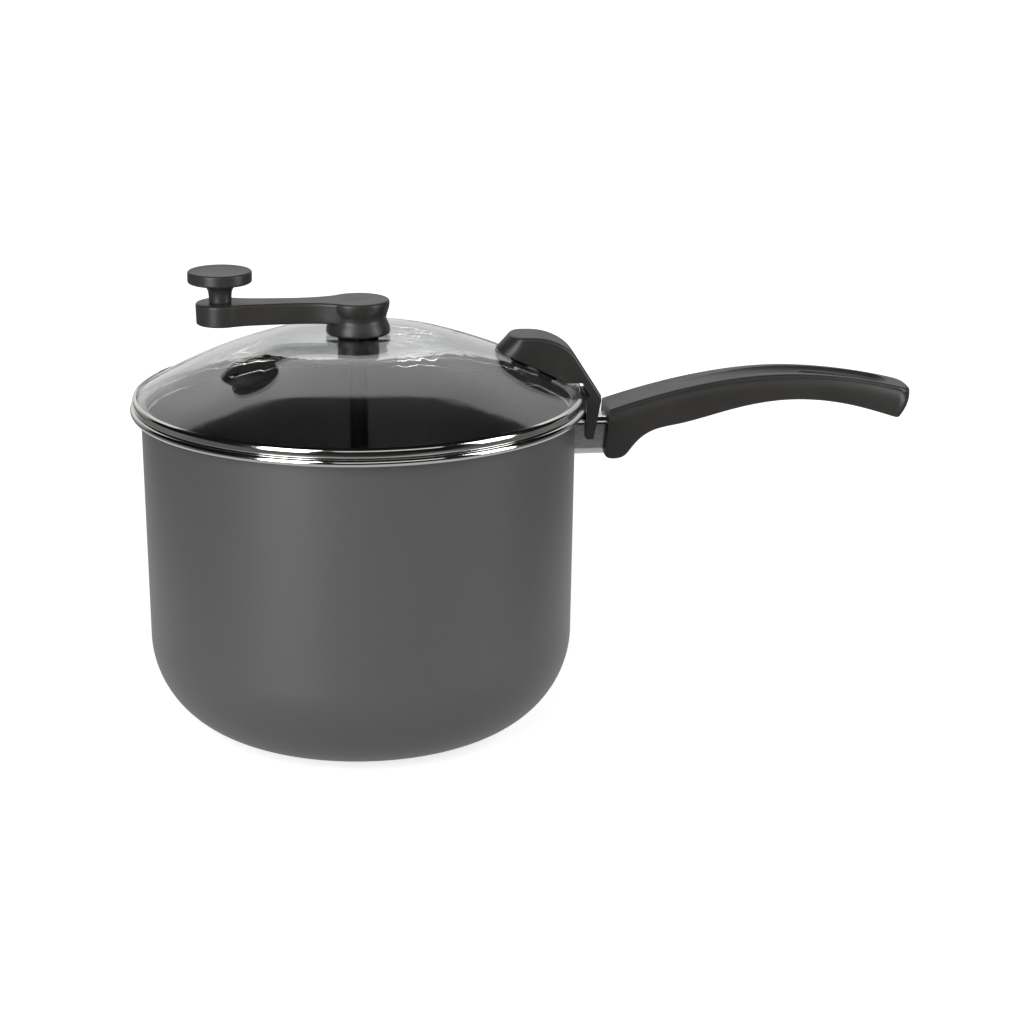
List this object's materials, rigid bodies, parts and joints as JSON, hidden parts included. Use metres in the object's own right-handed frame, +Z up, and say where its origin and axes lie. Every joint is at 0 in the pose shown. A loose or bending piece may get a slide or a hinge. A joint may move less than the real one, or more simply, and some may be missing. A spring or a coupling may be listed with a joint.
{
  "type": "stovetop popcorn popper",
  "caption": "Deep round pan with a curved grip, a domed glass lid and a hand crank that turns a stirrer inside.",
  "frame": {"origin": "centre of the pan's flat base, on the surface that it stands on", "axes": "+Z up along the shaft's axis, +X from the pan's axis along the grip, crank arm along -X at rest"},
  "size_m": [0.4006, 0.2308, 0.2383],
  "materials": {
    "pan_shell": "satin grey outside, dark inside",
    "bracket_steel": "plain",
    "guard_steel": "polished",
    "grip_phenolic": "satin black",
    "screw_steel": "plain",
    "lid_glass": "clear tempered",
    "band_steel": "polished",
    "clip_phenolic": "satin black",
    "gasket_silicone": "matt grey",
    "bush_plastic": "satin black",
    "shaft_plastic": "satin black",
    "crank_phenolic": "satin black",
    "stirrer_metal": "turned",
    "wire_steel": "drawn wire"
  },
  "bodies": {
    "pan": {"pan_body": "pan_shell", "handle_bracket": "bracket_steel", "flame_guard": "guard_steel", "handle_grip": "grip_phenolic", "handle_screw": "screw_steel", "handle_washer": "screw_steel"},
    "lid": {"lid_glass": "lid_glass", "lid_band": "band_steel", "lid_clip": "clip_phenolic", "clip_gasket": "gasket_silicone", "clip_screws": "screw_steel", "clip_washers": "screw_steel", "hub_bush": "bush_plastic", "upper_gasket": "gasket_silicone", "lower_gasket": "gasket_silicone", "hub_nut": "bush_plastic"},
    "crank": {"crank_arm": "crank_phenolic", "drive_shaft": "shaft_plastic", "thrust_washer": "screw_steel", "retaining_ring": "screw_steel", "stirrer_hub": "stirrer_metal", "stirrer_wire_left": "wire_steel", "stirrer_wire_right": "wire_steel", "stirrer_pin": "wire_steel", "knob_pin": "screw_steel", "knob_washer": "gasket_silicone"},
    "knob": {"crank_knob": "crank_phenolic"}
  },
  "joints": [
    {"name": "lid_lift", "type": "slide", "parent": "pan", "child": "lid", "axis": [0, 0, 1], "range_m": [0, 0.2]},
    {"name": "crank_spin", "type": "hinge", "parent": "lid", "child": "crank", "pos_m": [0, 0, 0.206], "axis": [0, 0, 1], "continuous": true},
    {"name": "knob_spin", "type": "hinge", "parent": "crank", "child": "knob", "pos_m": [-0.0688, 0, 0.2228], "axis": [0, 0, 1], "continuous": true}
  ]
}
